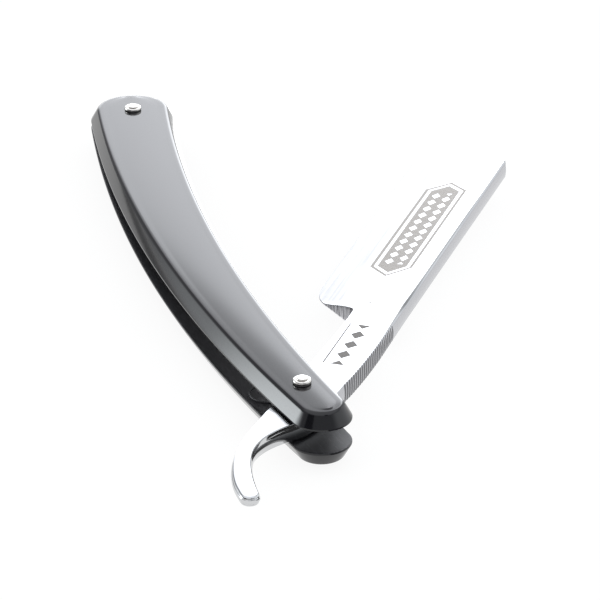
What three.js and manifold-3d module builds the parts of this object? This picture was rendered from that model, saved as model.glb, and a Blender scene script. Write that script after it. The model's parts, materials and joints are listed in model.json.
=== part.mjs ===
// A straight razor: a hollow-ground blade with a curved tail, folding between two bowed scales.
// Millimetres, +Z up. The pivot pin stands on the origin, the lower end of it is at Z = 0, and the
// wedge pin lies on +Y. The blade is drawn part open, turned clockwise from the handle.
import * as THREE from "three";
import { mergeVertices } from "three/addons/utils/BufferGeometryUtils.js";
import Module from "manifold-3d";

const wasm = await Module();
wasm.setup();

// ---- Driving dimensions ----

const PIN_SPACING = 132.6; // pivot pin to wedge pin
const HANDLE_SAGITTA = 5.4; // how far the handle's centre line bows out of the line of the pins
const NEAR_END = { s: -8.2, radius: 4.1 }; // flat of the pivot end: centre along the arc, radius
const FAR_END = { s: 134.7, radius: 7.1 }; // flat of the wedge end
const BELLY = 0.3; // extra half-width in the middle of the handle

const SCALE_THICKNESS = 3.2;
const BEVEL_INSET = 1.55; // the sloping side of a scale, seen from above
const LIP_HEIGHT = 0.35; // upright edge below the sloping side
const GAP_AT_PIVOT = 4.5; // clear space between the scales
const GAP_AT_WEDGE = 1.4;

const OPEN_ANGLE = 33.4; // degrees from the handle's line to the blade, as drawn
const BLADE_THICKNESS = 3.8; // along the spine and tang
const TAIL_TIP_THICKNESS = 1.9;
const SPINE_X = 6.7; // blade frame: X towards the spine, Y towards the nose
const EDGE_X = -12.2;
const NOSE_Y = 115.4;
const SHANK_EDGE_X = -2.4;
const HEEL_Y = 38.4;
const WHEEL_RADIUS = 80; // the hollow on each side is ground by a wheel of this radius
const WHEEL_CORNER = 7; // rounding of the wheel's side, which shapes the end of the hollow
const WHEEL_TOUCH = 1; // where the hollow is thinnest, in from the edge
const WEB_THICKNESS = 0.16;
const HOLLOW_START_Y = 39;
const GRIP_NOTCHES = { first: 8.5, pitch: 1.05, count: 26, depth: 0.22 };

const PIN_RADIUS = 0.75;
const HOLE_RADIUS = 0.8;
const COLLAR_RADIUS = 1.725;
const PEEN_RADIUS = 1.1;
const PIVOT_HEAD = { collar: 0.85, peen: 0.33 }; // heights above the scale
const WEDGE_HEAD = { collar: 0.66, peen: 0.26 };
const SEAT_GAP = 0.03; // between faces that rest on each other
const COLLAR_SEAT = 0.07; // a collar rests on the high side of a scale that slopes under it
const WASHER_RADIUS = 3.6;
const WASHER_THICKNESS = 0.25;
const WEDGE_START_S = 119; // the wedge reaches from here to the far end, clear of the folded blade
const WEDGE_INSET = 1.1; // in from the edge of the scales

const ROUND_SEGMENTS = 32;
const MID_Z =
  GAP_AT_PIVOT / 2 + SCALE_THICKNESS + COLLAR_SEAT + PIVOT_HEAD.collar + SEAT_GAP + PIVOT_HEAD.peen;

// ---- Materials ----

const standard = (color, roughness, metalness) =>
  new THREE.MeshStandardMaterial({ color, roughness, metalness });
const STEEL = standard(0xd9dbde, 0.12, 1);
const BLACK_PLASTIC = standard(0x0b0b0d, 0.12, 0);
const PIN_METAL = standard(0xe4e4e2, 0.18, 1);
const BRASS = standard(0xb8934a, 0.35, 1);

// ---- Helpers ----

function toSolid(geometry) {
  const bare = geometry.index ? geometry.toNonIndexed() : geometry.clone();
  const onlyPosition = new THREE.BufferGeometry();
  onlyPosition.setAttribute("position", bare.getAttribute("position"));
  const merged = mergeVertices(onlyPosition, 1e-4);
  return new wasm.Manifold(
    new wasm.Mesh({
      numProp: 3,
      vertProperties: merged.attributes.position.array,
      triVerts: new Uint32Array(merged.index.array),
    }),
  );
}

function toGeometry(solid) {
  const mesh = solid.getMesh();
  const geometry = new THREE.BufferGeometry();
  geometry.setAttribute("position", new THREE.BufferAttribute(mesh.vertProperties, 3));
  geometry.setIndex(new THREE.BufferAttribute(mesh.triVerts, 1));
  geometry.computeVertexNormals();
  return geometry;
}

function namedMesh(name, geometry, material) {
  const mesh = new THREE.Mesh(geometry, material);
  mesh.name = name;
  return mesh;
}

// A cylinder along Z, from zLow to zHigh.
function uprightCylinder(radius, zLow, zHigh, x = 0, y = 0) {
  const geometry = new THREE.CylinderGeometry(radius, radius, zHigh - zLow, ROUND_SEGMENTS);
  geometry.rotateX(Math.PI / 2);
  geometry.translate(x, y, (zLow + zHigh) / 2);
  return geometry;
}

// A round body about the Z axis from [radius, z] points that start and end on the axis, or that
// close on themselves, taken anticlockwise.
function turned(points) {
  const geometry = new THREE.LatheGeometry(
    points.map(([radius, z]) => new THREE.Vector2(radius, z)),
    ROUND_SEGMENTS,
  );
  geometry.rotateX(Math.PI / 2);
  return geometry;
}

// ---- The handle's shape ----

const ARC_RADIUS =
  (PIN_SPACING ** 2 / 4 + HANDLE_SAGITTA ** 2) / (2 * HANDLE_SAGITTA);
const ARC_CENTRE = new THREE.Vector2(ARC_RADIUS - HANDLE_SAGITTA, PIN_SPACING / 2);
const PIVOT_ANGLE = -Math.asin(PIN_SPACING / 2 / ARC_RADIUS);

// A point at length s along the handle's centre line from the pivot, and across from it.
function onHandle(s, across) {
  const angle = PIVOT_ANGLE + s / ARC_RADIUS;
  const radius = ARC_RADIUS - across;
  return [
    ARC_CENTRE.x - radius * Math.cos(angle),
    ARC_CENTRE.y + radius * Math.sin(angle),
  ];
}

// Half the clear space between the scales: even near the pivot, closing towards the wedge.
function halfGap(y) {
  const along = Math.max(y, 0) / PIN_SPACING;
  return (GAP_AT_PIVOT - (GAP_AT_PIVOT - GAP_AT_WEDGE) * along ** 2) / 2;
}

function halfWidth(s) {
  const t = (s - NEAR_END.s) / (FAR_END.s - NEAR_END.s);
  const straight = NEAR_END.radius + (FAR_END.radius - NEAR_END.radius) * t;
  return straight + BELLY * Math.sin(Math.PI * t);
}

// Stations from one end of the handle to the other, each giving s and half-width at an offset
// from the edge of the flat. The round ends are stepped by angle.
const END_STEPS = 9;
const SIDE_STEPS = 30;

function endStation(end, towards, angle) {
  return (offset) => ({
    s: end.s + towards * (end.radius + offset) * Math.cos(angle),
    half: (end.radius + offset) * Math.sin(angle),
  });
}

function handleStations() {
  const stations = [];
  for (let i = 0; i < END_STEPS; i++) {
    stations.push(endStation(NEAR_END, -1, (i / END_STEPS) * (Math.PI / 2)));
  }
  for (let i = 0; i <= SIDE_STEPS; i++) {
    const s = NEAR_END.s + (i / SIDE_STEPS) * (FAR_END.s - NEAR_END.s);
    stations.push((offset) => ({ s, half: halfWidth(s) + offset }));
  }
  for (let i = END_STEPS - 1; i >= 0; i--) {
    stations.push(endStation(FAR_END, 1, (i / END_STEPS) * (Math.PI / 2)));
  }
  return stations;
}

// Joins rings of equal point count into one closed skin. Rings run anticlockwise seen from the
// far end, and the first and last ring are closed with a fan.
function skin(rings) {
  const count = rings[0].length;
  const positions = rings.flat(2);
  const index = [];
  for (let r = 0; r + 1 < rings.length; r++) {
    for (let k = 0; k < count; k++) {
      const a = r * count + k;
      const b = r * count + ((k + 1) % count);
      index.push(a, b, b + count, a, b + count, a + count);
    }
  }
  const last = (rings.length - 1) * count;
  for (let k = 1; k + 1 < count; k++) {
    index.push(0, k + 1, k);
    index.push(last, last + k, last + k + 1);
  }
  const geometry = new THREE.BufferGeometry();
  geometry.setAttribute("position", new THREE.Float32BufferAttribute(positions, 3));
  geometry.setIndex(index);
  return geometry;
}

// One scale above the middle plane: inner face, upright lip, sloping side, outer face.
function scaleSkin() {
  const rings = handleStations().map((station) => {
    const inner = station(BEVEL_INSET);
    const outer = station(0);
    const corner = (at, side, rise) => {
      const [x, y] = onHandle(at.s, side * at.half);
      return [x, y, halfGap(y) + rise];
    };
    return [
      corner(inner, -1, 0),
      corner(inner, -1, LIP_HEIGHT),
      corner(outer, -1, SCALE_THICKNESS),
      corner(outer, 1, SCALE_THICKNESS),
      corner(inner, 1, LIP_HEIGHT),
      corner(inner, 1, 0),
    ];
  });
  return skin(rings);
}

// ---- The scales, the wedge and the fixings ----

const PIVOT = [0, 0];
const WEDGE_PIN = [0, PIN_SPACING];

function drilled(geometry, places) {
  const drill = ([x, y]) => toSolid(uprightCylinder(HOLE_RADIUS, -20, 20, x, y));
  return places.reduce((solid, place) => solid.subtract(drill(place)), toSolid(geometry));
}

function mirrored(geometry) {
  return toGeometry(toSolid(geometry).mirror([0, 0, 1]));
}

function scales() {
  const upper = toGeometry(drilled(scaleSkin(), [PIVOT, WEDGE_PIN]));
  return [
    namedMesh("upper_scale", upper, BLACK_PLASTIC),
    namedMesh("lower_scale", mirrored(upper), BLACK_PLASTIC),
  ];
}

function wedgeSpacer() {
  const stations = handleStations().filter((station) => station(0).s >= WEDGE_START_S);
  const rings = stations.map((station) => {
    const edge = station(BEVEL_INSET - WEDGE_INSET);
    const corner = (side, face) => {
      const [x, y] = onHandle(edge.s, side * edge.half);
      return [x, y, face * (halfGap(y) - SEAT_GAP)];
    };
    return [corner(-1, -1), corner(-1, 1), corner(1, 1), corner(1, -1)];
  });
  const body = toGeometry(drilled(skin(rings), [WEDGE_PIN]));
  return namedMesh("wedge_spacer", body, BLACK_PLASTIC);
}

function collar(name, place, seat, height, side) {
  const edge = height * 0.45;
  const body = turned([
    [HOLE_RADIUS, 0],
    [COLLAR_RADIUS, 0],
    [COLLAR_RADIUS, edge],
    [COLLAR_RADIUS - 0.08, height * 0.72],
    [COLLAR_RADIUS - 0.28, height * 0.93],
    [COLLAR_RADIUS - 0.55, height],
    [HOLE_RADIUS, height],
    [HOLE_RADIUS, 0],
  ]);
  body.translate(place[0], place[1], seat);
  const above = toGeometry(toSolid(body));
  return namedMesh(name, side > 0 ? above : mirrored(above), PIN_METAL);
}

// A pin through both scales, with each end spread to a flat-topped head over its collar.
function pin(name, place, headSeat, peen) {
  const half = [
    [PIN_RADIUS, headSeat],
    [PEEN_RADIUS, headSeat],
    [PEEN_RADIUS, headSeat + peen * 0.3],
    [PEEN_RADIUS * 0.94, headSeat + peen * 0.75],
    [PEEN_RADIUS * 0.8, headSeat + peen],
    [0, headSeat + peen],
  ];
  const lower = half.map(([radius, z]) => [radius, -z]).reverse();
  const body = turned([...lower, ...half]);
  body.translate(place[0], place[1], 0);
  return namedMesh(name, body, PIN_METAL);
}

function fixings() {
  const pieces = [];
  const heads = [
    { name: "pivot", place: PIVOT, head: PIVOT_HEAD },
    { name: "wedge", place: WEDGE_PIN, head: WEDGE_HEAD },
  ];
  for (const { name, place, head } of heads) {
    const seat = halfGap(place[1]) + SCALE_THICKNESS + COLLAR_SEAT;
    pieces.push(pin(`${name}_pin`, place, seat + head.collar + SEAT_GAP, head.peen));
    pieces.push(collar(`upper_${name}_collar`, place, seat, head.collar, 1));
    pieces.push(collar(`lower_${name}_collar`, place, seat, head.collar, -1));
  }
  return pieces;
}

// Thin washers that keep the tang off the scales.
function pivotWashers() {
  const low = (BLADE_THICKNESS / 2 + GAP_AT_PIVOT / 2 - WASHER_THICKNESS) / 2;
  const ring = turned([
    [HOLE_RADIUS, low],
    [WASHER_RADIUS, low],
    [WASHER_RADIUS, low + WASHER_THICKNESS],
    [HOLE_RADIUS, low + WASHER_THICKNESS],
    [HOLE_RADIUS, low],
  ]);
  return [
    namedMesh("upper_pivot_washer", ring, BRASS),
    namedMesh("lower_pivot_washer", mirrored(ring), BRASS),
  ];
}

// ---- The blade ----

// The spine side of the shank draws in towards the tang.
function shankSpineX(y) {
  return SPINE_X - 1.1 * (Math.max(30 - y, 0) / 22) ** 2;
}

// The blade from above, in its own frame: nose, spine, notched shank, tail, heel, edge.
function bladeOutline() {
  const shape = new THREE.Shape();
  shape.moveTo(SPINE_X - 2, NOSE_Y - 0.3);
  shape.quadraticCurveTo(SPINE_X, NOSE_Y - 0.5, SPINE_X, NOSE_Y - 2.7);
  const { first, pitch, count, depth } = GRIP_NOTCHES;
  for (let i = count - 1; i >= 0; i--) {
    const y = first + i * pitch;
    shape.lineTo(shankSpineX(y + pitch / 2), y + pitch / 2);
    shape.lineTo(shankSpineX(y + pitch / 4), y + pitch / 4);
    shape.lineTo(shankSpineX(y) - depth, y);
    shape.lineTo(shankSpineX(y - pitch / 4), y - pitch / 4);
  }
  // Round the tang, and down the inside of the tail to its tip.
  shape.bezierCurveTo(5.35, 1.5, 5.0, -4.3, 1.4, -9.3);
  shape.bezierCurveTo(-0.6, -11.9, -2.15, -15.1, -2.25, -18.7);
  shape.bezierCurveTo(-2.3, -24, 0.8, -29.8, 3.45, -34.2);
  shape.bezierCurveTo(4.1, -35.8, 2.1, -37.5, 0.45, -36.2);
  // Back up the outside of the tail to the shank.
  shape.bezierCurveTo(-2.85, -32.9, -5.95, -25.2, -6.05, -17.2);
  shape.bezierCurveTo(-6.1, -10.2, -3.6, 8, -3.2, 19.4);
  shape.quadraticCurveTo(SHANK_EDGE_X, 28, SHANK_EDGE_X, HEEL_Y - 0.2);
  // The heel slants out to the cutting edge.
  shape.quadraticCurveTo(SHANK_EDGE_X, HEEL_Y + 1.2, SHANK_EDGE_X - 0.8, HEEL_Y + 1.35);
  shape.lineTo(EDGE_X + 3, HEEL_Y + 4.4);
  shape.bezierCurveTo(EDGE_X + 1.2, HEEL_Y + 5.5, EDGE_X, HEEL_Y + 8, EDGE_X, HEEL_Y + 11.6);
  // Toe corner and the nose, a little hollow.
  shape.lineTo(EDGE_X, NOSE_Y - 1.6);
  shape.quadraticCurveTo(EDGE_X, NOSE_Y + 0.8, EDGE_X + 1.8, NOSE_Y + 0.8);
  shape.quadraticCurveTo(-6, NOSE_Y, SPINE_X - 2, NOSE_Y - 0.3);
  return shape;
}

// The wheel that grinds the hollow, standing over the upper side of the blade.
function grindingWheel() {
  const profile = [new THREE.Vector2(0, HOLLOW_START_Y)];
  const steps = 6;
  for (let i = 0; i <= steps; i++) {
    const angle = (i / steps) * (Math.PI / 2);
    profile.push(
      new THREE.Vector2(
        WHEEL_RADIUS - WHEEL_CORNER * (1 - Math.sin(angle)),
        HOLLOW_START_Y + WHEEL_CORNER * (1 - Math.cos(angle)),
      ),
    );
  }
  profile.push(new THREE.Vector2(WHEEL_RADIUS, NOSE_Y + 5));
  profile.push(new THREE.Vector2(0, NOSE_Y + 5));
  const wheel = new THREE.LatheGeometry(profile, 360);
  wheel.translate(EDGE_X + WHEEL_TOUCH, 0, WEB_THICKNESS / 2 + WHEEL_RADIUS);
  return toSolid(wheel);
}

// A sloping block that thins one face of the tail towards its tip.
function tailCutter() {
  const startY = -6;
  const tipY = -37;
  const drop = (BLADE_THICKNESS - TAIL_TIP_THICKNESS) / 2;
  const slope = Math.atan2(drop, startY - tipY);
  const size = 60;
  const block = new THREE.BoxGeometry(size, size, size);
  block.translate(0, -size / 2, size / 2);
  block.rotateX(slope);
  block.translate(0, startY, BLADE_THICKNESS / 2);
  return toSolid(block);
}

function blade() {
  const plate = new THREE.ExtrudeGeometry(bladeOutline(), {
    depth: BLADE_THICKNESS,
    bevelEnabled: false,
    curveSegments: 12,
  });
  plate.translate(0, 0, -BLADE_THICKNESS / 2);
  const cutters = [grindingWheel(), tailCutter()];
  let solid = drilled(plate, [PIVOT]);
  for (const cutter of cutters) {
    solid = solid.subtract(cutter).subtract(cutter.mirror([0, 0, 1]));
  }
  return namedMesh("blade", toGeometry(solid), STEEL);
}

// ---- Assembly ----

const razor = new THREE.Group();
const handle = new THREE.Group();
const bladeGroup = new THREE.Group();
handle.add(...scales(), wedgeSpacer(), ...fixings(), ...pivotWashers());
bladeGroup.add(blade());
bladeGroup.rotation.z = -THREE.MathUtils.degToRad(OPEN_ANGLE);
handle.position.z = MID_Z;
bladeGroup.position.z = MID_Z;
razor.add(handle, bladeGroup);

export default razor;
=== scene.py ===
"""A straight razor: a hollow-ground blade part open between two bowed black scales.

Lengths in the constants are millimetres and angles are degrees. Meshes are scaled to metres.
"""

import json
import math

import bmesh
import bpy
import numpy as np
from mathutils import Matrix, Vector

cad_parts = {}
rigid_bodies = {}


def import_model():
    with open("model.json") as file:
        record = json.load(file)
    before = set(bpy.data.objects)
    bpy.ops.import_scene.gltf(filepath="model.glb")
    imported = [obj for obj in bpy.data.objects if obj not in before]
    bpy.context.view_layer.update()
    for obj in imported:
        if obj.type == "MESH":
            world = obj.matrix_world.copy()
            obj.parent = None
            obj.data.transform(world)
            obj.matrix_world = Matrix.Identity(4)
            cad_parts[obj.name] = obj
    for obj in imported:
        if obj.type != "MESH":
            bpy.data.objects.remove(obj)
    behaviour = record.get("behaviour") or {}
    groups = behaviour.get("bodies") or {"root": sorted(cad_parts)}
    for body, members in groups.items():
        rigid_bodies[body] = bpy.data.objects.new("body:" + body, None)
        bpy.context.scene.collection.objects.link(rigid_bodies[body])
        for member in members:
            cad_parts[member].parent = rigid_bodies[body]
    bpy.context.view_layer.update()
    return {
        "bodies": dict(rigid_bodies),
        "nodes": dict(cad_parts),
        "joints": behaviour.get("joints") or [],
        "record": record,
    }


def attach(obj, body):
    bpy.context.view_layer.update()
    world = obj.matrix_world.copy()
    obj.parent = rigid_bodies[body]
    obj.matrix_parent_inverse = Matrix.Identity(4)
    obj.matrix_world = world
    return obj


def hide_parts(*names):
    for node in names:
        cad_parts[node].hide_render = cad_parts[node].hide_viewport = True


MM = 0.001

# ---- Dimensions shared with the CAD ----

PIN_SPACING = 132.6
HANDLE_SAGITTA = 5.4
NEAR_S, NEAR_RADIUS = -8.2, 4.1
FAR_S, FAR_RADIUS = 134.7, 7.1
BELLY = 0.3
SCALE_THICKNESS = 3.2
BEVEL_INSET = 1.55
LIP_HEIGHT = 0.35
GAP_AT_PIVOT = 4.5
GAP_AT_WEDGE = 1.4
OPEN_ANGLE = 33.4
BLADE_THICKNESS = 3.8
TAIL_TIP_THICKNESS = 1.9
SPINE_X = 6.7
EDGE_X = -12.2
NOSE_Y = 115.4
SHANK_EDGE_X = -2.4
HEEL_Y = 38.4
WHEEL_RADIUS = 80
WHEEL_TOUCH = 1
WEB_THICKNESS = 0.16
NOTCH_FIRST, NOTCH_PITCH, NOTCH_COUNT, NOTCH_DEPTH = 8.5, 1.05, 26, 0.22
PIN_RADIUS = 0.75
HOLE_RADIUS = 0.8
COLLAR_RADIUS = 1.725
PEEN_RADIUS = 1.1
PIVOT_HEAD = {"collar": 0.85, "peen": 0.33}
WEDGE_HEAD = {"collar": 0.66, "peen": 0.26}
SEAT_GAP = 0.03
COLLAR_SEAT = 0.07
WASHER_RADIUS = 3.6
WASHER_THICKNESS = 0.25
WEDGE_START_S = 119
WEDGE_INSET = 1.1
MID_Z = (
    GAP_AT_PIVOT / 2 + SCALE_THICKNESS + COLLAR_SEAT + PIVOT_HEAD["collar"] + SEAT_GAP + PIVOT_HEAD["peen"]
)

# ---- Mesh helpers ----


def new_mesh(name, points, faces):
    """A smooth mesh object from millimetre points measured from the razor's middle plane."""
    mesh = bpy.data.meshes.new(name)
    placed = np.asarray(points, float) + (0, 0, MID_Z)
    mesh.from_pydata((placed * MM).tolist(), [], faces)
    tidy_mesh(mesh)
    obj = bpy.data.objects.new(name, mesh)
    bpy.context.scene.collection.objects.link(obj)
    return obj


def tidy_mesh(mesh):
    """Joins points that fall together and turns every face outward."""
    work = bmesh.new()
    work.from_mesh(mesh)
    bmesh.ops.remove_doubles(work, verts=work.verts, dist=2e-6)
    bmesh.ops.dissolve_degenerate(work, edges=work.edges, dist=1e-6)
    bmesh.ops.recalc_face_normals(work, faces=work.faces)
    for face in work.faces:
        face.smooth = True
    work.to_mesh(mesh)
    work.free()


CUTTER_REACH = 9  # above and below the middle plane, past every piece
CUTTER_SEGMENTS = 64
ROUND_SEGMENTS = 128


def drill(obj, places):
    """Cuts an upright hole for a pin through obj at each place."""
    low, high = -CUTTER_REACH, CUTTER_REACH
    profile = [(0, low), (HOLE_RADIUS, low), (HOLE_RADIUS, high), (0, high)]
    for place in places:
        cutter = new_mesh("cutter", *turned_skin(profile, place, CUTTER_SEGMENTS))
        cut = obj.modifiers.new("hole", "BOOLEAN")
        cut.object = cutter
        cut.solver = "EXACT"
        shape = obj.evaluated_get(bpy.context.evaluated_depsgraph_get())
        cut_mesh = bpy.data.meshes.new_from_object(shape)
        obj.modifiers.remove(cut)
        obj.data = cut_mesh
        bpy.data.objects.remove(cutter)


def turned_skin(profile, centre, segments=ROUND_SEGMENTS):
    """Points and faces of a round body from (radius, z) pairs, about an upright axis."""
    points, faces = [], []
    count = len(profile)
    for i in range(segments):
        angle = 2 * math.pi * i / segments
        for radius, z in profile:
            points.append((centre[0] + radius * math.cos(angle), centre[1] + radius * math.sin(angle), z))
    for i in range(segments):
        here, there = i * count, ((i + 1) % segments) * count
        for k in range(count - 1):
            faces.append((here + k, there + k, there + k + 1, here + k + 1))
    return points, faces


def ring_faces(ring_count, size):
    """Quads that join closed rings of equal size."""
    faces = []
    for r in range(ring_count - 1):
        for k in range(size):
            a, b = r * size + k, r * size + (k + 1) % size
            faces.append((a, b, b + size, a + size))
    return faces


def filleted(corners, steps=6):
    """A path through (x, y, radius) corners, each rounded with an arc. The ends stay sharp."""
    path = [corners[0][:2]]
    for before, corner, after in zip(corners, corners[1:], corners[2:]):
        here = Vector(corner[:2])
        back = (Vector(before[:2]) - here).normalized()
        on = (Vector(after[:2]) - here).normalized()
        half = back.angle(on) / 2
        reach = corner[2] / math.tan(half)
        centre = here + (back + on).normalized() * (corner[2] / math.sin(half))
        start, end = here + back * reach - centre, here + on * reach - centre
        turn = start.angle_signed(end)
        for i in range(steps + 1):
            path.append(tuple(centre + Matrix.Rotation(-turn * i / steps, 2) @ start))
    path.append(corners[-1][:2])
    return path


def ease(value, low, high):
    """0 below low, 1 above high, and smooth between them."""
    t = np.clip((np.asarray(value, float) - low) / (high - low), 0, 1)
    return t * t * (3 - 2 * t)


# ---- The handle ----

ARC_RADIUS = (PIN_SPACING**2 / 4 + HANDLE_SAGITTA**2) / (2 * HANDLE_SAGITTA)
ARC_CENTRE = (ARC_RADIUS - HANDLE_SAGITTA, PIN_SPACING / 2)
PIVOT_ANGLE = -math.asin(PIN_SPACING / 2 / ARC_RADIUS)
END_STEPS = 28
SIDE_STEPS = 190
FLAT_COLUMNS = 14


def on_handle(s, across):
    """A point at length s along the handle's centre line from the pivot, and across from it."""
    angle = PIVOT_ANGLE + s / ARC_RADIUS
    radius = ARC_RADIUS - across
    return ARC_CENTRE[0] - radius * math.cos(angle), ARC_CENTRE[1] + radius * math.sin(angle)


def half_gap(y):
    along = max(y, 0) / PIN_SPACING
    return (GAP_AT_PIVOT - (GAP_AT_PIVOT - GAP_AT_WEDGE) * along**2) / 2


def half_width(s):
    t = (s - NEAR_S) / (FAR_S - NEAR_S)
    return NEAR_RADIUS + (FAR_RADIUS - NEAR_RADIUS) * t + BELLY * math.sin(math.pi * t)


def handle_stations():
    """(s, half-width, growth of s, growth of half-width with the offset) from end to end."""
    stations = []
    turns = [i / END_STEPS * math.pi / 2 for i in range(END_STEPS)]
    for a in turns:
        stations.append(
            (NEAR_S - NEAR_RADIUS * math.cos(a), NEAR_RADIUS * math.sin(a), -math.cos(a), math.sin(a))
        )
    for i in range(SIDE_STEPS + 1):
        s = NEAR_S + (FAR_S - NEAR_S) * i / SIDE_STEPS
        stations.append((s, half_width(s), 0, 1))
    for a in reversed(turns):
        stations.append(
            (FAR_S + FAR_RADIUS * math.cos(a), FAR_RADIUS * math.sin(a), math.cos(a), math.sin(a))
        )
    return stations


def handle_skin(stations, ring, height):
    """A body along the handle. ring holds (offset from the flat's edge, share of the half-width,
    rise), and height gives z from the half gap and the rise."""
    points = []
    for s0, half0, ds, dh in stations:
        for offset, share, rise in ring:
            x, y = on_handle(s0 + ds * offset, share * (half0 + dh * offset))
            points.append((x, y, height(half_gap(y), rise)))
    faces = ring_faces(len(stations), len(ring))
    last = (len(stations) - 1) * len(ring)
    faces.append(tuple(range(len(ring))))
    faces.append(tuple(last + k for k in range(len(ring))))
    return points, faces


def closed_ring(path, columns=FLAT_COLUMNS):
    """One closed section from a path down its right side: across the top, down the right, back
    across the bottom, and up the left."""
    top, bottom = path[0], path[-1]
    shares = np.linspace(-1, 1, columns + 1)
    ring = [(top[0], share, top[1]) for share in shares]
    ring += [(offset, 1, rise) for offset, rise in path[1:]]
    ring += [(bottom[0], share, bottom[1]) for share in shares[::-1][1:]]
    ring += [(offset, -1, rise) for offset, rise in path[::-1][1:-1]]
    return ring


CREASE_RADIUS = 1.1
FLAT_CROWN = 0.09
LIP_RADIUS = 0.14
INNER_EDGE_RADIUS = 0.12


def crowned(share, rise):
    """The rise on an outer face that falls a little from its middle to its sides."""
    return rise - FLAT_CROWN * share**2 * (rise / SCALE_THICKNESS) ** 2


def scale(name, side):
    """One scale: outer face, rounded crease, sloping side, thin lip and inner face."""
    path = filleted(
        [
            (-1.3, SCALE_THICKNESS),
            (0, SCALE_THICKNESS, CREASE_RADIUS),
            (BEVEL_INSET, LIP_HEIGHT, LIP_RADIUS),
            (BEVEL_INSET, 0, INNER_EDGE_RADIUS),
            (0.9, 0),
        ]
    )
    ring = [(o, share, crowned(share, rise)) for o, share, rise in closed_ring(path)]
    skin = handle_skin(handle_stations(), ring, lambda gap, rise: side * (gap + rise))
    obj = new_mesh(name, *skin)
    drill(obj, [(0, 0), (0, PIN_SPACING)])
    return obj


MOULD_MARK = {"x": -3.0, "y": 12.0, "radius": 3.7, "line": 0.12}


def mould_mark():
    """The thin raised circle that an ejector leaves on the lower scale's inner face."""
    radius, line = MOULD_MARK["radius"], MOULD_MARK["line"]
    face = -half_gap(MOULD_MARK["y"])
    turns = [math.pi * i / 6 for i in range(7)]
    profile = [(radius - line * math.cos(a), face + line * math.sin(a)) for a in turns]
    profile.append((radius - line, face))
    return new_mesh("mould_mark", *turned_skin(profile, (MOULD_MARK["x"], MOULD_MARK["y"])))


def wedge():
    """The tapered spacer, with its edges just broken."""
    stations = [st for st in handle_stations() if st[0] >= WEDGE_START_S]
    reach = BEVEL_INSET - WEDGE_INSET
    corner = 0.1
    path = [(reach - 0.8, 1), (reach - corner, 1), (reach - 0.03, 0.96), (reach, 0.86)]
    path += [(offset, -rise) for offset, rise in reversed(path)]
    skin = handle_skin(stations, closed_ring(path), lambda gap, rise: rise * (gap - SEAT_GAP))
    obj = new_mesh("wedge_tapered", *skin)
    drill(obj, [(0, PIN_SPACING)])
    return obj


# ---- Pins, collars and washers ----


def catmull_rom(a, b, c, d, t):
    """The point a share t of the way from b to c, on the smooth curve through all four."""
    slope = c - a
    bend = 2 * a - 5 * b + 4 * c - d
    twist = 3 * b - a - 3 * c + d
    return 0.5 * (2 * b + slope * t + bend * t * t + twist * t**3)


def smooth_profile(points, steps=5):
    """A smooth curve through (radius, z) points."""
    padded = np.array([points[0], *points, points[-1]], float)
    curve = []
    for four in zip(padded, padded[1:], padded[2:], padded[3:]):
        curve += [tuple(catmull_rom(*four, i / steps)) for i in range(steps)]
    curve.append(points[-1])
    return curve


def collar(name, place, seat, height, side):
    """A domed washer under a pin's head."""
    dome = smooth_profile(
        [
            (COLLAR_RADIUS, height * 0.5),
            (COLLAR_RADIUS - 0.02, height * 0.7),
            (COLLAR_RADIUS - 0.08, height * 0.87),
            (COLLAR_RADIUS - 0.2, height * 0.97),
            (COLLAR_RADIUS - 0.4, height),
        ]
    )
    profile = [(HOLE_RADIUS, 0), (COLLAR_RADIUS - 0.04, 0), (COLLAR_RADIUS, 0.04), *dome]
    profile += [(PEEN_RADIUS, height), (HOLE_RADIUS, height), (HOLE_RADIUS, 0)]
    return new_mesh(name, *turned_skin([(r, side * (seat + z)) for r, z in profile], place))


def pin(name, place, seat, peen):
    """A pin with each end spread to a low domed head."""
    dome = smooth_profile(
        [
            (PEEN_RADIUS, seat + peen * 0.3),
            (PEEN_RADIUS * 0.98, seat + peen * 0.6),
            (PEEN_RADIUS * 0.92, seat + peen * 0.82),
            (PEEN_RADIUS * 0.8, seat + peen * 0.93),
            (PEEN_RADIUS * 0.5, seat + peen),
        ]
    )
    half = [(PIN_RADIUS, 0), (PIN_RADIUS, seat), (PEEN_RADIUS - 0.03, seat), *dome, (0, seat + peen)]
    lower = [(r, -z) for r, z in half[:0:-1]]
    return new_mesh(name, *turned_skin([*lower, *half], place))


def washer(name, side):
    """A thin flat ring between the tang and a scale, with its edges just broken."""
    low = (BLADE_THICKNESS / 2 + GAP_AT_PIVOT / 2 - WASHER_THICKNESS) / 2
    edge = 0.05
    profile = [
        (HOLE_RADIUS, low),
        (WASHER_RADIUS - edge, low),
        (WASHER_RADIUS, low + edge),
        (WASHER_RADIUS, low + WASHER_THICKNESS - edge),
        (WASHER_RADIUS - edge, low + WASHER_THICKNESS),
        (HOLE_RADIUS, low + WASHER_THICKNESS),
        (HOLE_RADIUS, low),
    ]
    return new_mesh(name, *turned_skin([(r, side * z) for r, z in profile], (0, 0)))


# ---- The blade's outline ----


def bezier(*controls, steps=24):
    """Points along a quadratic or cubic curve, its start left out."""
    controls = [np.array(c, float) for c in controls]
    points = []
    for i in range(1, steps + 1):
        row, t = controls, i / steps
        while len(row) > 1:
            row = [a * (1 - t) + b * t for a, b in zip(row, row[1:])]
        points.append(row[0])
    return points


SHANK_START_Y = 8


def shank_spine_x(y):
    """The spine side of the shank, which draws in towards the tang."""
    return SPINE_X - 1.1 * (np.maximum(30 - np.asarray(y, float), 0) / 22) ** 2


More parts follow.
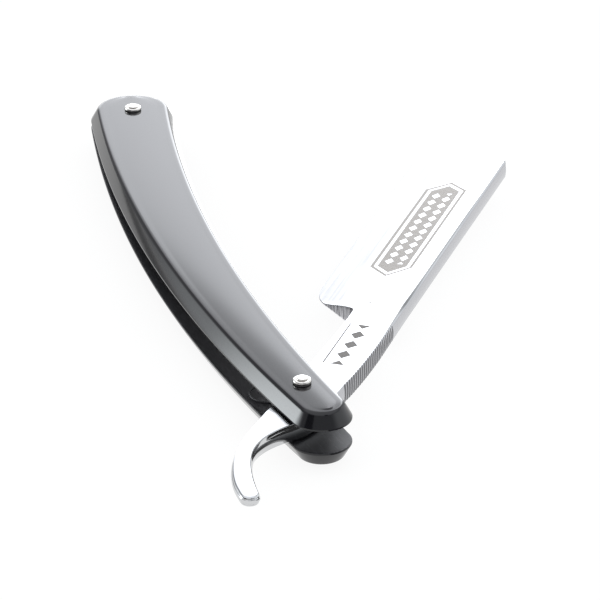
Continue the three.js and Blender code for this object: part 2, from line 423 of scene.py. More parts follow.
def tail_outline():
    """From the spine side of the tang, down the inside of the tail, round its tip, and up the
    outside to the shank."""
    start = (5.6, SHANK_START_Y)
    points = [np.array(start, float)]
    points += bezier(start, (5.35, 1.5), (5.0, -4.3), (1.4, -9.3))
    points += bezier((1.4, -9.3), (-0.6, -11.9), (-2.15, -15.1), (-2.25, -18.7))
    points += bezier((-2.25, -18.7), (-2.3, -24), (0.8, -29.8), (3.45, -34.2))
    points += bezier((3.45, -34.2), (4.1, -35.8), (2.1, -37.49), (0.45, -36.2), steps=48)
    points += bezier((0.45, -36.2), (-2.85, -32.9), (-5.95, -25.2), (-6.05, -17.2))
    points += bezier((-6.05, -17.2), (-6.1, -10.2), (-3.6, 8), (-3.2, 19.4))
    return points


def heel_outline():
    """From the shank's edge side, out along the heel to the cutting edge and its toe."""
    points = bezier((-3.2, 19.4), (SHANK_EDGE_X, 28), (SHANK_EDGE_X, HEEL_Y - 0.2))
    points += bezier(
        (SHANK_EDGE_X, HEEL_Y - 0.2), (SHANK_EDGE_X, HEEL_Y + 1.2), (SHANK_EDGE_X - 0.8, HEEL_Y + 1.35)
    )
    points.append(np.array((EDGE_X + 3, HEEL_Y + 4.4)))
    points += bezier(
        (EDGE_X + 3, HEEL_Y + 4.4),
        (EDGE_X + 1.2, HEEL_Y + 5.5),
        (EDGE_X, HEEL_Y + 8),
        (EDGE_X, HEEL_Y + 11.6),
    )
    points.append(np.array((EDGE_X, NOSE_Y - 1.6)))
    return points


def nose_outline():
    """From the toe, along the slightly hollow nose, to its rounded corner at the spine."""
    points = [np.array((EDGE_X, NOSE_Y - 1.6))]
    points += bezier((EDGE_X, NOSE_Y - 1.6), (EDGE_X, NOSE_Y + 0.8), (EDGE_X + 1.8, NOSE_Y + 0.8))
    points += bezier((EDGE_X + 1.8, NOSE_Y + 0.8), (-6, NOSE_Y), (SPINE_X - 2, NOSE_Y - 0.3))
    points += bezier((SPINE_X - 2, NOSE_Y - 0.3), (SPINE_X, NOSE_Y - 0.5), (SPINE_X, NOSE_Y - 2.7))
    return points


TAIL = tail_outline()
TIP = min(range(len(TAIL)), key=lambda i: TAIL[i][1])
TIP_Y = TAIL[TIP][1]
INNER_SIDE = np.array(TAIL[TIP::-1])
OUTER_SIDE = np.array(TAIL[TIP:] + heel_outline())
NOSE = np.array(nose_outline())
NOSE_BASE_Y = NOSE_Y - 0.4


def left_x(y):
    """The edge side, from the tip of the tail to the toe."""
    return np.interp(y, OUTER_SIDE[:, 1], OUTER_SIDE[:, 0])


def right_x(y):
    """The spine side, before the notches."""
    inside_tail = np.interp(y, INNER_SIDE[:, 1], INNER_SIDE[:, 0])
    return np.where(y < SHANK_START_Y, inside_tail, shank_spine_x(y))


NOTCH_END = NOTCH_FIRST + (NOTCH_COUNT - 0.5) * NOTCH_PITCH


def notch_depth(y):
    """How deep the grip notches cut the back at y."""
    place = np.asarray(y, float) - NOTCH_FIRST
    nearest = np.clip(np.round(place / NOTCH_PITCH), 0, NOTCH_COUNT - 1) * NOTCH_PITCH
    return NOTCH_DEPTH * np.maximum(0, 1 - np.abs(place - nearest) / (NOTCH_PITCH * 0.34))


def distance_to(points, line):
    """The distance from each (x, y) point to a polyline."""
    best = np.full(len(points), np.inf)
    for a, b in zip(line, line[1:]):
        step = b - a
        length = step @ step
        if length < 1e-12:
            continue
        t = np.clip(((points - a) @ step) / length, 0, 1)
        best = np.minimum(best, np.hypot(*(points - a - t[:, None] * step).T))
    return best


# ---- The blade's surface ----

SHOULDER_X = SPINE_X - 0.7
RUN_OUT = 8.5
PLATEAU_X, PLATEAU_Y, PLATEAU_SLOPE = -2.1, 38.9, 0.4
BACK_CROWN = 0.1
TAIL_CROWN = 0.34


def wall_crown(y):
    """How far the back, the tang's sides and the tail's sides bulge past their edges."""
    stations = [TIP_Y, TIP_Y + 2, -20, 0, 7, 11]
    return np.interp(y, stations, [0, 0.2, TAIL_CROWN, TAIL_CROWN, 0.2, BACK_CROWN])


def edge_crown(y):
    """The same on the edge side, which is straight along the shank."""
    stations = [TIP_Y, TIP_Y + 2, -20, 0, 20, 34]
    return np.interp(y, stations, [0, 0.2, TAIL_CROWN, TAIL_CROWN, 0.1, 0])


def rounding_radius(y):
    """The radius that breaks the edges of the tail, tang, shank, heel and cutting edge."""
    return np.interp(y, [-36, -31, -24, 0, 30, 38, 46], [0.5, 0.42, 0.26, 0.26, 0.22, 0.14, 0.06])


def rounded_drop(distance, radius):
    """How far a rounded edge falls at a distance in from it."""
    inside = np.clip(radius - distance, 0, radius)
    return radius - np.sqrt(np.maximum(radius**2 - inside**2, 0))


def shoulder(in_from_back, y):
    """How far the face falls towards the back: a slow fall over a wide strip, which is gone on the
    shank and narrows near the nose, and then a rounded corner."""
    on_blade, near_nose = ease(y, 15, 47), ease(y, 76, 108)
    width = 0.3 + on_blade * (1.0 - 0.5 * near_nose)
    fall = on_blade * (0.38 - 0.2 * near_nose)
    share = 1 - np.clip(in_from_back / width, 0, 1)
    corner_width = 0.2 + on_blade * (0.1 + 0.15 * near_nose)
    corner_depth = 0.2 + on_blade * (0.25 + 0.2 * near_nose)
    corner = 1 - np.clip(in_from_back / corner_width, 0, 1)
    return fall * share**2 + corner_depth * (1 - np.sqrt(np.maximum(1 - corner**2, 0)))


def ground_half(x, y):
    """Half the blade's thickness before its edges are rounded."""
    taper = np.clip((-6 - y) / 31, 0, 1) * (BLADE_THICKNESS - TAIL_TIP_THICKNESS) / 2
    full = BLADE_THICKNESS / 2 - taper
    in_from_edge = np.minimum(x, SHOULDER_X) - EDGE_X - WHEEL_TOUCH
    hollow = np.minimum(WEB_THICKNESS / 2 + in_from_edge**2 / (2 * WHEEL_RADIUS), full)
    plateau = PLATEAU_Y + PLATEAU_SLOPE * (x - PLATEAU_X)
    run = np.sin(np.clip((y - plateau) / RUN_OUT, 0, 1) * math.pi / 2) ** 2
    return full - (full - hollow) * run


def top_height(x, y, nose_distance):
    """Height of the upper face at each point of the plan."""
    half = ground_half(x, y)
    plan = np.column_stack([x, y])
    radius = np.minimum(rounding_radius(y), 0.8 * half)
    drop = rounded_drop(distance_to(plan, OUTER_SIDE) - edge_crown(y), radius)
    near_tip = INNER_SIDE[INNER_SIDE[:, 1] < -29]
    tip_drop = rounded_drop(distance_to(plan, near_tip) - wall_crown(y), radius)
    nose_drop = rounded_drop(nose_distance, np.minimum(0.14, 0.6 * half))
    in_from_back = np.maximum(right_x(y) - wall_crown(y) - x, 0)
    back_drop = np.where(y < 5, rounded_drop(in_from_back, radius), shoulder(in_from_back, y))
    return half - np.maximum.reduce([drop, tip_drop, nose_drop, back_drop])


def stations_along_blade():
    """Where the blade is sliced, closest at the tip, the notches, the heel and the nose."""
    tip = [TIP_Y + 2.2 * (i / 20) ** 2 for i in range(20)]
    notch_start = NOTCH_FIRST - 2.5 * NOTCH_PITCH
    notch_end = NOTCH_FIRST + (NOTCH_COUNT + 0.5) * NOTCH_PITCH
    tail = list(np.arange(TIP_Y + 2.2, notch_start - 0.1, 0.35))
    notches = list(np.arange(notch_start, notch_end, NOTCH_PITCH / 8))
    heel = list(np.arange(notch_end + 0.1, 52, 0.14))
    body = list(np.arange(52.1, NOSE_BASE_Y - 2, 0.6))
    nose = [NOSE_BASE_Y - d for d in (1.8, 1.5, 1.2, 0.9, 0.65, 0.45, 0.3, 0.18, 0.1, 0.05, 0.02, 0)]
    return np.array(tip + tail + notches + heel + body + nose)


LEFT_OFFSETS = np.array([0, 0.012, 0.045, 0.1, 0.18, 0.28, 0.42, 0.62, 0.9, 1.25, 1.65, 2.1])
RIGHT_OFFSETS = np.array(
    [0, 0.008, 0.03, 0.06, 0.1, 0.15, 0.2, 0.26, 0.32, 0.4, 0.5, 0.6, 0.7, 0.82, 0.95, 1.1, 1.28, 1.5, 1.9]
)
MIDDLE_COLUMNS = 26
WALL_STEPS = 6
OFFSETS_FIT = 4.6  # on a blade narrower than this the offsets shrink with it
NOSE_BLEND_Y = 98  # from here on the slices bend towards the nose's shape


def plan_grid():
    """x and y of the upper face: one row for each station, columns from the edge to the back."""
    rows = []
    for y in stations_along_blade():
        low = float(left_x(y)) + float(edge_crown(y))
        high = float(right_x(y)) - float(notch_depth(y)) - float(wall_crown(y))
        scale_down = min(1, (high - low) / OFFSETS_FIT)
        left = low + LEFT_OFFSETS * scale_down
        right = high - RIGHT_OFFSETS[::-1] * scale_down
        middle = np.linspace(left[-1], right[0], MIDDLE_COLUMNS + 1)[1:-1]
        xs = np.concatenate([left, middle, right])
        rows.append(np.column_stack([xs, np.full(len(xs), y)]))
    grid = np.array(rows)
    x, y = grid[..., 0], grid[..., 1]
    nose_shift = np.interp(x, NOSE[:, 0], NOSE[:, 1]) - NOSE_BASE_Y
    grid[..., 1] = y + nose_shift * ease(y, NOSE_BLEND_Y, NOSE_BASE_Y)
    return grid


def blade_rings(grid):
    """Closed rings round the blade: upper face, back, lower face, edge side."""
    flat = grid.reshape(-1, 2)
    nose_distance = distance_to(flat, NOSE[1:])
    z = top_height(flat[:, 0], flat[:, 1], nose_distance).reshape(grid.shape[:2])
    wall = 1 - 2 * np.arange(1, WALL_STEPS) / WALL_STEPS
    rings = []
    for row, heights in zip(grid, z):
        (back_x, back_y), (edge_x, edge_y) = row[-1], row[0]
        crown, edge = float(wall_crown(back_y)), float(edge_crown(edge_y))
        ring = [(x, y, h) for (x, y), h in zip(row, heights)]
        ring += [(back_x + crown * (1 - w * w), back_y, heights[-1] * w) for w in wall]
        ring += [(x, y, -h) for (x, y), h in zip(row[::-1], heights[::-1])]
        ring += [(edge_x - edge * (1 - w * w), edge_y, -heights[0] * w) for w in wall]
        rings.append(ring)
    return rings


def nose_cap(first, columns, size):
    """Faces that close the last ring, between its upper and lower points."""
    back = list(range(columns - 1, columns + WALL_STEPS))
    edge = [*range(2 * columns + WALL_STEPS - 2, size), 0]
    opposite = lambda k: 2 * columns + WALL_STEPS - 2 - k
    faces = [(k, k + 1, opposite(k + 1), opposite(k)) for k in range(1, columns - 2)]
    faces.append(tuple([columns - 2, *back, opposite(columns - 2)]))
    faces.append(tuple([opposite(1), *edge, 1]))
    return [tuple(first + k for k in face) for face in faces]


def to_open_angle(points):
    """Turns points from the blade's own frame to where the blade lies, part open."""
    turn = -math.radians(OPEN_ANGLE)
    points = np.asarray(points, float)
    x, y = points[:, 0], points[:, 1]
    return np.column_stack(
        [x * math.cos(turn) - y * math.sin(turn), x * math.sin(turn) + y * math.cos(turn), points[:, 2]]
    )


def blade():
    """The blade, forged and ground in one with its tang and tail."""
    grid = plan_grid()
    rings = blade_rings(grid)
    size = len(rings[0])
    faces = ring_faces(len(rings), size)
    faces += nose_cap((len(rings) - 1) * size, grid.shape[1], size)
    obj = new_mesh("blade_ground", to_open_angle([p for ring in rings for p in ring]), faces)
    drill(obj, [(0, 0)])
    return obj


# ---- Materials ----


class Finish:
    """A principled material with short calls for the nodes that vary it."""

    def __init__(self, name, **values):
        self.material = bpy.data.materials.new(name)
        self.material.use_nodes = True
        self.tree = self.material.node_tree
        self.surface = self.tree.nodes["Principled BSDF"]
        for key, value in values.items():
            self.surface.inputs[key.replace("_", " ")].default_value = value

    def node(self, kind, links=(), **settings):
        made = self.tree.nodes.new(kind)
        for key, value in settings.items():
            setattr(made, key, value)
        for socket, value in dict(links).items():
            self.feed(made.inputs[socket], value)
        return made

    def feed(self, socket, value):
        if isinstance(value, bpy.types.NodeSocket):
            self.tree.links.new(value, socket)
        else:
            socket.default_value = value

    def math(self, operation, a, b=0.0):
        return self.node("ShaderNodeMath", {0: a, 1: b}, operation=operation).outputs[0]

    def place(self, angle=0.0, scale=(1, 1, 1)):
        """Object coordinates in millimetres, turned about Z and then scaled."""
        source = self.node("ShaderNodeTexCoord").outputs["Object"]
        turned = self.node(
            "ShaderNodeMapping",
            {"Vector": source, "Rotation": (0, 0, math.radians(angle)), "Scale": (1 / MM,) * 3},
        )
        return self.node("ShaderNodeMapping", {"Vector": turned.outputs[0], "Scale": scale}).outputs[0]

    def noise(self, vector, scale, detail=3.0, roughness=0.5):
        return self.node(
            "ShaderNodeTexNoise",
            {"Vector": vector, "Scale": scale, "Detail": detail, "Roughness": roughness},
        ).outputs["Fac"]

    def span(self, value, low, high, start=0.0, end=1.0):
        """value from start..end mapped to low..high."""
        return self.node(
            "ShaderNodeMapRange",
            {"Value": value, "From Min": start, "From Max": end, "To Min": low, "To Max": high},
        ).outputs[0]

    def paint(self, colour, roughness):
        self.feed(self.surface.inputs["Base Color"], colour)
        self.feed(self.surface.inputs["Roughness"], roughness)

    def bump(self, height, depth_mm, strength=1.0):
        made = self.node(
            "ShaderNodeBump", {"Height": height, "Distance": depth_mm * MM, "Strength": strength}
        )
        self.feed(self.surface.inputs["Normal"], made.outputs["Normal"])


def mix_colour(finish, factor, low, high):
    """A colour that goes from low to high with factor. Either may be a colour or a socket."""
    mix = finish.node("ShaderNodeMix", data_type="RGBA")
    for socket, value in ((0, factor), (6, low), (7, high)):
        if isinstance(value, tuple):
            value = (*value, 1)
        finish.feed(mix.inputs[socket], value)
    return mix.outputs[2]


# The marks on the blade, in the blade's own frame. A diamond is its half length and half width.
CARTOUCHE = {
    "x": -1.75,
    "y": 80.2,
    "half_width": 4.25,
    "half_length": 23.0,
    "point": 0.95,
    "end_slope": 0.72,
    "line": 0.62,
    "margin": 1.3,
    "rows": ((-1.25, 0.0), (1.25, 1.6)),
    "row_half_length": 17.2,
    "pitch": 3.2,
    "diamond": (1.25, 0.85),
}
TANG_ROW = {
    "x": 1.6,
    "y": 24.5,
    "half_length": 8.6,
    "pitch": 4.3,
    "diamond": (1.7, 1.35),
    "line_beside": 2.7,
    "line_half_width": 0.14,
}


def diamond_row(steel, along, across, pitch, half_long, half_wide):
    """1 inside a row of small diamonds along a line, 0 elsewhere."""
    wrapped = steel.math("WRAP", along, pitch / 2)
    steel.feed(wrapped.node.inputs[2], -pitch / 2)
    reach = steel.math(
        "ADD",
        steel.math("DIVIDE", steel.math("ABSOLUTE", wrapped), half_long),
        steel.math("DIVIDE", steel.math("ABSOLUTE", across), half_wide),
    )
    return steel.math("LESS_THAN", reach, 1.0)


def etched_ornament(steel, vector):
    """1 where the blade carries its etched panel, 0 elsewhere: a pointed frame round a field
    with two rows of plain diamonds."""
    parts = steel.node("ShaderNodeSeparateXYZ", {"Vector": vector})
    across = steel.math("SUBTRACT", parts.outputs[0], CARTOUCHE["x"])
    along = steel.math("SUBTRACT", parts.outputs[1], CARTOUCHE["y"])
    side = steel.math("SUBTRACT", steel.math("ABSOLUTE", across), CARTOUCHE["half_width"])
    slant = steel.math(
        "ADD",
        steel.math("ABSOLUTE", along),
        steel.math("MULTIPLY", steel.math("ABSOLUTE", across), CARTOUCHE["point"]),
    )
    past_end = steel.math("SUBTRACT", slant, CARTOUCHE["half_length"])
    end = steel.math("MULTIPLY", past_end, CARTOUCHE["end_slope"])
    edge = steel.math("MAXIMUM", side, end)
    outer = steel.math("LESS_THAN", edge, 0.0)
    line_inside = steel.math("LESS_THAN", edge, -CARTOUCHE["line"])
    field = steel.math("LESS_THAN", edge, -CARTOUCHE["margin"])
    frame = steel.math("SUBTRACT", outer, line_inside)
    rows = []
    for shift, offset in CARTOUCHE["rows"]:
        row_along = steel.math("ADD", along, offset)
        row_across = steel.math("SUBTRACT", across, shift)
        rows.append(
            diamond_row(steel, row_along, row_across, CARTOUCHE["pitch"], *CARTOUCHE["diamond"])
        )
    pattern = steel.math("MAXIMUM", *rows)
    reach = steel.math("ABSOLUTE", along)
    open_field = steel.math("LESS_THAN", reach, CARTOUCHE["row_half_length"])
    shown = steel.math("MULTIPLY", pattern, open_field)
    filled = steel.math("SUBTRACT", field, shown)
    upper = steel.math("GREATER_THAN", parts.outputs[2], MID_Z)
    return steel.math("MULTIPLY", steel.math("MAXIMUM", frame, filled), upper)


def tang_marks(steel, vector):
    """1 inside a row of diamonds with a fine line beside it, on the upper face of the shank."""
    parts = steel.node("ShaderNodeSeparateXYZ", {"Vector": vector})
    across = steel.math("SUBTRACT", parts.outputs[0], TANG_ROW["x"])
    along = steel.math("SUBTRACT", parts.outputs[1], TANG_ROW["y"])
    row = diamond_row(steel, along, across, TANG_ROW["pitch"], *TANG_ROW["diamond"])
    beside = steel.math("ADD", across, TANG_ROW["line_beside"])
    line = steel.math("LESS_THAN", steel.math("ABSOLUTE", beside), TANG_ROW["line_half_width"])
    within = steel.math("LESS_THAN", steel.math("ABSOLUTE", along), TANG_ROW["half_length"])
    upper = steel.math("GREATER_THAN", parts.outputs[2], MID_Z)
    marks = steel.math("MULTIPLY", steel.math("MAXIMUM", row, line), within)
    return steel.math("MULTIPLY", marks, upper)


BARE_STEEL = ((0.60, 0.61, 0.625), (0.64, 0.645, 0.65))
# Painted shade: a grey that dims the blade's reflection near the edge, the heel and the nose.
EDGE_SHADE_GREY = (0.205, 0.207, 0.21)
PANEL_GREY = ((0.135, 0.126, 0.114), (0.175, 0.163, 0.147))
MARK_GREY = ((0.045, 0.041, 0.037), (0.068, 0.063, 0.057))


def painted_edge_shade(steel, vector):
    """1 where painted shade greys the mirror near the cutting edge, by the heel and at the nose, in
    streaks along the blade.
    """
    parts = steel.node("ShaderNodeSeparateXYZ", {"Vector": vector})
    x, y = parts.outputs[0], parts.outputs[1]
    near_edge = steel.span(x, 1.0, 0.0, EDGE_X + 5, EDGE_X + 11)
    near_heel = steel.span(y, 0.8, 0.0, HEEL_Y + 7, HEEL_Y + 20)
    near_nose = steel.span(y, 0.0, 0.95, NOSE_Y - 1.8, NOSE_Y - 0.3)
    streaks = steel.noise(steel.place(OPEN_ANGLE, (1.6, 0.05, 0.3)), 1.0, 4)
    strength = steel.span(streaks, 0.84, 1.0, 0.35, 0.65)
    streaked_shade = steel.math("MULTIPLY", steel.math("MAXIMUM", near_edge, near_heel), strength)
    on_blade = steel.span(y, 0.0, 1.0, HEEL_Y + 1, HEEL_Y + 6)
    return steel.math("MULTIPLY", steel.math("MAXIMUM", streaked_shade, near_nose), on_blade)


def polished_steel():
    """Mirror-polished blade steel with grinding lines across it, its etching, and painted shade that greys
    the mirror near the edge, heel and nose.
    """
    steel = Finish("polished_steel", Metallic=1.0)
    vector = steel.place(OPEN_ANGLE)
    lines = steel.noise(steel.place(OPEN_ANGLE, (0.25, 9, 0.25)), 1.0, 4)
    cloud = steel.noise(vector, 0.12, 2)
    panel, marks = etched_ornament(steel, vector), tang_marks(steel, vector)
    grain = steel.noise(vector, 14, 2)
    bare = mix_colour(steel, cloud, *BARE_STEEL)
    # painted shade greys the mirror's reflection near the edge, heel and nose
    edge_shaded = mix_colour(steel, painted_edge_shade(steel, vector), bare, EDGE_SHADE_GREY)
    with_panel = mix_colour(steel, panel, edge_shaded, mix_colour(steel, grain, *PANEL_GREY))
    shade = mix_colour(steel, marks, with_panel, mix_colour(steel, grain, *MARK_GREY))
    gloss = steel.span(lines, 0.03, 0.10, 0.3, 0.7)
    dull = steel.math("MULTIPLY", steel.math("MAXIMUM", panel, marks), 0.3)
    steel.paint(shade, steel.math("ADD", gloss, dull))
    steel.bump(lines, 0.0006, 0.35)
    return steel.material


def rough_steel():
    """The heel wall, left with upright grinding lines."""
    steel = Finish("ground_steel", Metallic=1.0)
    lines = steel.noise(steel.place(OPEN_ANGLE, (4, 4, 0.3)), 1.0, 4)
    streaks = steel.span(lines, 0, 1, 0.35, 0.65)
    colour = mix_colour(steel, streaks, (0.04, 0.04, 0.045), (0.24, 0.24, 0.25))
    steel.paint(colour, steel.span(lines, 0.25, 0.5))
    steel.bump(lines, 0.02, 0.5)
    return steel.material


def back_steel():
    """The back of the spine, finely drawn along its length."""
    steel = Finish("back_steel", Metallic=1.0)
    lines = steel.noise(steel.place(OPEN_ANGLE, (2, 3.5, 0.5)), 1.0, 4)
    colour = mix_colour(steel, lines, (0.43, 0.44, 0.465), (0.515, 0.515, 0.535))
    steel.paint(colour, steel.span(lines, 0.14, 0.24))
    steel.bump(lines, 0.004, 0.4)
    return steel.material


def notch_steel():
    """The walls of the grip notches, a darker and rougher grey than the back."""
    steel = Finish("notch_steel", Metallic=1.0)
    lines = steel.noise(steel.place(OPEN_ANGLE, (5, 5, 0.5)), 1.0, 3)
    colour = mix_colour(steel, lines, (0.13, 0.13, 0.135), (0.25, 0.25, 0.26))
    steel.paint(colour, steel.span(lines, 0.3, 0.5))
    steel.bump(lines, 0.01, 0.4)
    return steel.material


def black_plastic(name, roughness, scratch):
    """Moulded gloss plastic with faint clouding and hairline scratches."""
    plastic = Finish(name, IOR=1.5)
    cloud = plastic.noise(plastic.place(), 0.2, 3)
    scratches = plastic.noise(plastic.place(17, (0.35, 7, 3)), 1.0, 5, 0.7)
    fine = plastic.span(scratches, 0, 1, 0.62, 0.75)
    shade = mix_colour(plastic, cloud, (0.006, 0.006, 0.0075), (0.010, 0.010, 0.012))
    gloss = plastic.span(cloud, roughness, roughness * 1.25)
    dull = plastic.math("MULTIPLY", fine, scratch)
    plastic.paint(shade, plastic.math("ADD", gloss, dull))
    plastic.bump(scratches, 0.0012, 0.4)
    return plastic.material


def moulded_plastic():
    """The scales' inner faces, left as they were moulded: satin, with fine specks and scratches."""
    plastic = Finish("moulded_plastic", IOR=1.5)
    specks = plastic.noise(plastic.place(), 2.6, 5, 0.75)
    scratches = plastic.noise(plastic.place(-8, (6, 0.25, 1)), 1.0, 4, 0.7)
    light_specks = plastic.span(specks, 0, 1, 0.55, 0.75)
    light_scratches = plastic.span(scratches, 0, 1, 0.58, 0.7)
    light = plastic.math("MAXIMUM", light_specks, light_scratches)
    shade = mix_colour(plastic, light, (0.018, 0.018, 0.021), (0.075, 0.075, 0.085))
    plastic.paint(shade, plastic.span(specks, 0.3, 0.55))
    plastic.bump(specks, 0.01, 0.4)
    return plastic.material


def pin_metal():
    """Nickel silver, turned and polished."""
    metal = Finish("nickel_silver", Metallic=1.0)
    cloud = metal.noise(metal.place(), 1.6, 3)
    colour = mix_colour(metal, cloud, (0.70, 0.68, 0.65), (0.80, 0.78, 0.75))
    metal.paint(colour, metal.span(cloud, 0.14, 0.26))
    metal.bump(cloud, 0.01, 0.25)
    return metal.material


def washer_brass():
    """Brass, dulled a little."""
    brass = Finish("washer_brass", Metallic=1.0)
    cloud = brass.noise(brass.place(), 1.1, 4)
    colour = mix_colour(brass, cloud, (0.55, 0.38, 0.14), (0.68, 0.50, 0.22))
    brass.paint(colour, brass.span(cloud, 0.22, 0.42))
    return brass.material


BLADE_FINISHES = (polished_steel, back_steel, rough_steel, notch_steel)
BACK_START_Y = 5


def blade_finish(y, normal):
    """Which finish a face has, from its place along the blade and the way it faces."""
    faces_out_of_heel = abs(normal.z) < 0.3 and normal.x < -0.2 and normal.y < -0.3
    if faces_out_of_heel and HEEL_Y - 0.1 < y < HEEL_Y + 6.5:
        return rough_steel
    if y > BACK_START_Y and abs(normal.z) < 0.75 and normal.x > 0.3:
        in_notch = abs(normal.y) > 0.3 and y < NOTCH_END
        return notch_steel if in_notch else back_steel
    return polished_steel


def finish_blade(obj):
    """Gives the blade its mirror finish, a drawn back, a rough heel wall and grey notch walls."""
    for finish in BLADE_FINISHES:
        obj.data.materials.append(finish())
    turn = Matrix.Rotation(math.radians(OPEN_ANGLE), 3, "Z")
    for face in obj.data.polygons:
        centre = (turn @ face.center) / MM
        finish = blade_finish(centre.y, turn @ face.normal)
        face.material_index = BLADE_FINISHES.index(finish)


# ---- Putting the razor together ----


def place_piece(obj, body, nodes, material=None):
    """Puts obj on its body in place of CAD nodes, and gives it a material if one is passed."""
    if material:
        obj.data.materials.append(material)
    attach(obj, body)
    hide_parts(*nodes)


def build_handle():
    """Both scales, the mould mark and the wedge."""
    outer, inner = black_plastic("black_scale", 0.09, 0.12), moulded_plastic()
    for name, side in (("upper", 1), ("lower", -1)):
        obj = scale(f"{name}_scale_moulded", side)
        place_piece(obj, "handle", [f"{name}_scale"], outer)
        obj.data.materials.append(inner)
        for face in obj.data.polygons:
            faces_inward = face.normal.z * side < -0.9
            face.material_index = 1 if faces_inward else 0
    mark = mould_mark()
    mark.data.materials.append(inner)
    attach(mark, "handle")
    spacer = black_plastic("black_spacer", 0.16, 0.15)
    place_piece(wedge(), "handle", ["wedge_spacer"], spacer)


def build_fixings():
    """Pins, collars and washers."""
    metal, brass = pin_metal(), washer_brass()
    for name, place, head in (
        ("pivot", (0, 0), PIVOT_HEAD),
        ("wedge", (0, PIN_SPACING), WEDGE_HEAD),
    ):
        seat = half_gap(place[1]) + SCALE_THICKNESS + COLLAR_SEAT
        peened = pin(f"{name}_pin_peened", place, seat + head["collar"] + SEAT_GAP, head["peen"])
        place_piece(peened, "handle", [f"{name}_pin"], metal)
        for level, side in (("upper", 1), ("lower", -1)):
            obj = collar(f"{level}_{name}_collar_domed", place, seat, head["collar"], side)
            place_piece(obj, "handle", [f"{level}_{name}_collar"], metal)
    for level, side in (("upper", 1), ("lower", -1)):
        obj = washer(f"{level}_pivot_washer_turned", side)
        place_piece(obj, "handle", [f"{level}_pivot_washer"], brass)


def build_blade():
    obj = blade()
    finish_blade(obj)
    place_piece(obj, "blade", ["blade"])


# ---- Studio ----

CAMERA_PLACE = (-193.25, -703.56, 384.89)
CAMERA_AZIMUTH = 15.33
CAMERA_ELEVATION = 26.0
LENS = 270

# The studio's own sizes are metres.
DOME_RADIUS = 3.0
FLOOR_SIZE = 12
CARD_HEIGHT = 0.0005
FLOOR_GREY = 0.13
FLOOR_GLOW = 0.9
WORLD_COLOUR = (0.97, 0.985, 1, 1)
WORLD_GLOW = 0.95
TENT_COLOUR = (0.935, 0.955, 1, 1)

# The soft light that shows in gloss and polish, each patch as: radiance against a white of 1,
# azimuth clockwise from +Y (rises from a to b, falls from c to d), elevation likewise, and tint.
LIGHT_PATCHES = (
    (6.2, (-86, -55, -50, -38), (-4, 2, 12, 24), (0.93, 0.98, 1.0)),
    (1.3, (-66, -50, -42, -24), (-4, 2, 12, 24), (0.93, 0.98, 1.0)),
    (1.2, (18, 24, 30, 36), (-2, 4, 36, 50), (0.95, 0.97, 1.0)),
    (0.45, (28, 36, 118, 150), (-6, -2, 32, 46), (0.95, 0.98, 1.0)),
    (0.35, (44, 54, 118, 150), (-6, -2, 32, 46), (0.95, 0.98, 1.0)),
)
# Parts of the tent that are masked off, as azimuths and elevations again.
DARK_PATCHES = (
    ((156, 162, 174, 180), (36, 41, 52, 58)),
    ((-134, -126, -102, -94), (0, 6, 36, 44)),
)
# The tent's own radiance: low up to one elevation, high above another.
SKY = {"low": 0.4, "high": 1.15, "from": 38, "to": 54}
# The large panel: its reach, the direction it is set out from, and its radiance there and further
# down the slope, which rises by so much for each degree of azimuth and of elevation.
PANEL = {
    "azimuths": (-14, 2, 27, 35),
    "elevations": (-6, -1, 36, 58),
    "centre": (14.5, 27.0),
    "rise": (0.5, -1.9),
    "radiance": (1.6, 3.45),
    "slope_end": 3.4,
    "sideways": (0.87, 1.13),
    "sideways_reach": 5.0,
}


def smooth_step(finish, value, low, high):
    """0 at low and 1 at high, with a smooth rise between."""
    return finish.node(
        "ShaderNodeMapRange",
        {"Value": value, "From Min": low, "From Max": high},
        interpolation_type="SMOOTHSTEP",
    ).outputs[0]


def band(finish, value, rise_from, rise_to, fall_from, fall_to):
    """1 between rise_to and fall_from, and smoothly 0 outside."""
    up = smooth_step(finish, value, rise_from, rise_to)
    down = smooth_step(finish, value, fall_to, fall_from)
    return finish.math("MULTIPLY", up, down)


def window(light, azimuth, elevation, azimuths, elevations):
    """1 inside a window of directions, and smoothly 0 outside."""
    return light.math(
        "MULTIPLY", band(light, azimuth, *azimuths), band(light, elevation, *elevations)
    )


def panel_radiance(light, azimuth, elevation):
    """The large panel behind the razor: brightest low down and to the right."""
    shape = window(light, azimuth, elevation, PANEL["azimuths"], PANEL["elevations"])
    to_right = light.math("SUBTRACT", azimuth, PANEL["centre"][0])
    upward = light.math("SUBTRACT", elevation, PANEL["centre"][1])
    slope = light.math(
        "ADD",
        light.math("MULTIPLY", to_right, PANEL["rise"][0]),
        light.math("MULTIPLY", upward, PANEL["rise"][1]),
    )
    glow = light.span(slope, *PANEL["radiance"], 0.0, PANEL["slope_end"])
    reach = PANEL["sideways_reach"]
    sideways = light.span(to_right, *PANEL["sideways"], -reach, reach)
    return light.math("MULTIPLY", light.math("MULTIPLY", shape, glow), sideways)


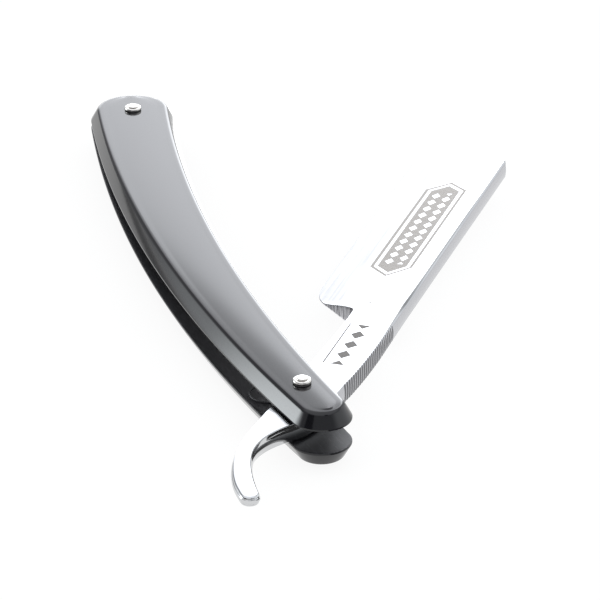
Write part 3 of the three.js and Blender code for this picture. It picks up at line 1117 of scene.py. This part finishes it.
def light_dome():
    """A soft light tent that only polish and gloss see. The floor and the sky light the rest."""
    light = Finish("tent_light")
    place = light.node("ShaderNodeTexCoord").outputs["Object"]
    unit = light.node("ShaderNodeVectorMath", {0: place}, operation="NORMALIZE").outputs[0]
    axes = light.node("ShaderNodeSeparateXYZ", {"Vector": unit}).outputs
    azimuth = light.math("MULTIPLY", light.math("ARCTAN2", axes[0], axes[1]), 180 / math.pi)
    elevation = light.math("MULTIPLY", light.math("ARCSINE", axes[2]), 180 / math.pi)
    sky = light.span(elevation, SKY["low"], SKY["high"], SKY["from"], SKY["to"])
    panel = light.math("ADD", panel_radiance(light, azimuth, elevation), sky)
    for azimuths, elevations in DARK_PATCHES:
        dark = window(light, azimuth, elevation, azimuths, elevations)
        panel = light.math("MULTIPLY", panel, light.math("SUBTRACT", 1.0, dark))
    total = light.node("ShaderNodeEmission", {"Color": TENT_COLOUR, "Strength": panel}).outputs[0]
    for radiance, azimuths, elevations, tint in LIGHT_PATCHES:
        patch = window(light, azimuth, elevation, azimuths, elevations)
        glow = light.node(
            "ShaderNodeEmission",
            {"Color": (*tint, 1), "Strength": light.math("MULTIPLY", patch, radiance)},
        )
        total = light.node("ShaderNodeAddShader", {0: total, 1: glow.outputs[0]}).outputs[0]
    light.tree.links.new(total, light.tree.nodes["Material Output"].inputs["Surface"])
    bpy.ops.mesh.primitive_uv_sphere_add(segments=64, ring_count=32, radius=DOME_RADIUS)
    only_in_reflections(bpy.context.object, "light_tent", light.material)


def only_in_reflections(obj, name, material):
    """Makes obj part of the studio, seen by gloss and polish and by nothing else."""
    obj.name = name
    obj.data.materials.append(material)
    obj.visible_camera = False
    obj.visible_diffuse = False
    obj.visible_shadow = False
    obj.visible_transmission = False


# Cards flat on the table, each as its corners (x, y) in metres and its radiance at its right and
# left edges: a grey one past the far end of the handle, that darkens its left side, a bright one
# between handle and blade, and a black one in front of the tail.
CARDS = {
    "flag": ((-0.70, 0.187), (-0.083, 0.90), 0.15, 1.4),
    "reflector": ((0.004, 0.030), (0.021, 0.21), 3.4, 3.4),
    "black_card": ((0.004, -0.075), (0.075, -0.017), 0.03, 0.03),
}


def cards():
    """Glowing or dark cards that gloss and polish see on the floor."""
    for name, ((x0, y0), (x1, y1), right, left) in CARDS.items():
        card = Finish(name)
        place = card.node("ShaderNodeNewGeometry").outputs["Position"]
        x = card.node("ShaderNodeSeparateXYZ", {"Vector": place}).outputs[0]
        glow = card.node("ShaderNodeEmission", {"Strength": card.span(x, left, right, x0, x1)})
        card.tree.links.new(glow.outputs[0], card.tree.nodes["Material Output"].inputs["Surface"])
        middle = ((x0 + x1) / 2, (y0 + y1) / 2, CARD_HEIGHT)
        bpy.ops.mesh.primitive_plane_add(size=1, location=middle)
        bpy.context.object.scale = (x1 - x0, y1 - y0, 1)
        only_in_reflections(bpy.context.object, name, card.material)


def floor():
    """A plain white floor that mostly glows, as a light table does, so shadows stay faint."""
    white = Finish("floor_white", Roughness=0.9)
    white.surface.inputs["Specular IOR Level"].default_value = 0.0
    white.surface.inputs["Base Color"].default_value = (FLOOR_GREY, FLOOR_GREY, FLOOR_GREY, 1)
    white.surface.inputs["Emission Color"].default_value = (1, 1, 1, 1)
    white.surface.inputs["Emission Strength"].default_value = FLOOR_GLOW
    bpy.ops.mesh.primitive_plane_add(size=FLOOR_SIZE)
    plane = bpy.context.object
    plane.name = "floor"
    plane.data.materials.append(white.material)


def studio():
    """An even white world round the floor, the light tent and the cards."""
    scene = bpy.context.scene
    world = bpy.data.worlds.new("studio")
    world.use_nodes = True
    background = world.node_tree.nodes["Background"]
    background.inputs["Color"].default_value = WORLD_COLOUR
    background.inputs["Strength"].default_value = WORLD_GLOW
    scene.world = world
    scene.view_settings.view_transform = "Standard"
    floor()
    light_dome()
    cards()


def camera():
    data = bpy.data.cameras.new("camera")
    data.lens = LENS
    data.sensor_width = 36
    data.clip_start, data.clip_end = 0.01, 50
    obj = bpy.data.objects.new("camera", data)
    obj.location = Vector(CAMERA_PLACE) * MM
    obj.rotation_euler = (math.radians(90 - CAMERA_ELEVATION), 0, -math.radians(CAMERA_AZIMUTH))
    bpy.context.scene.collection.objects.link(obj)
    bpy.context.scene.camera = obj


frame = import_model()
camera()
studio()
build_handle()
build_fixings()
build_blade()
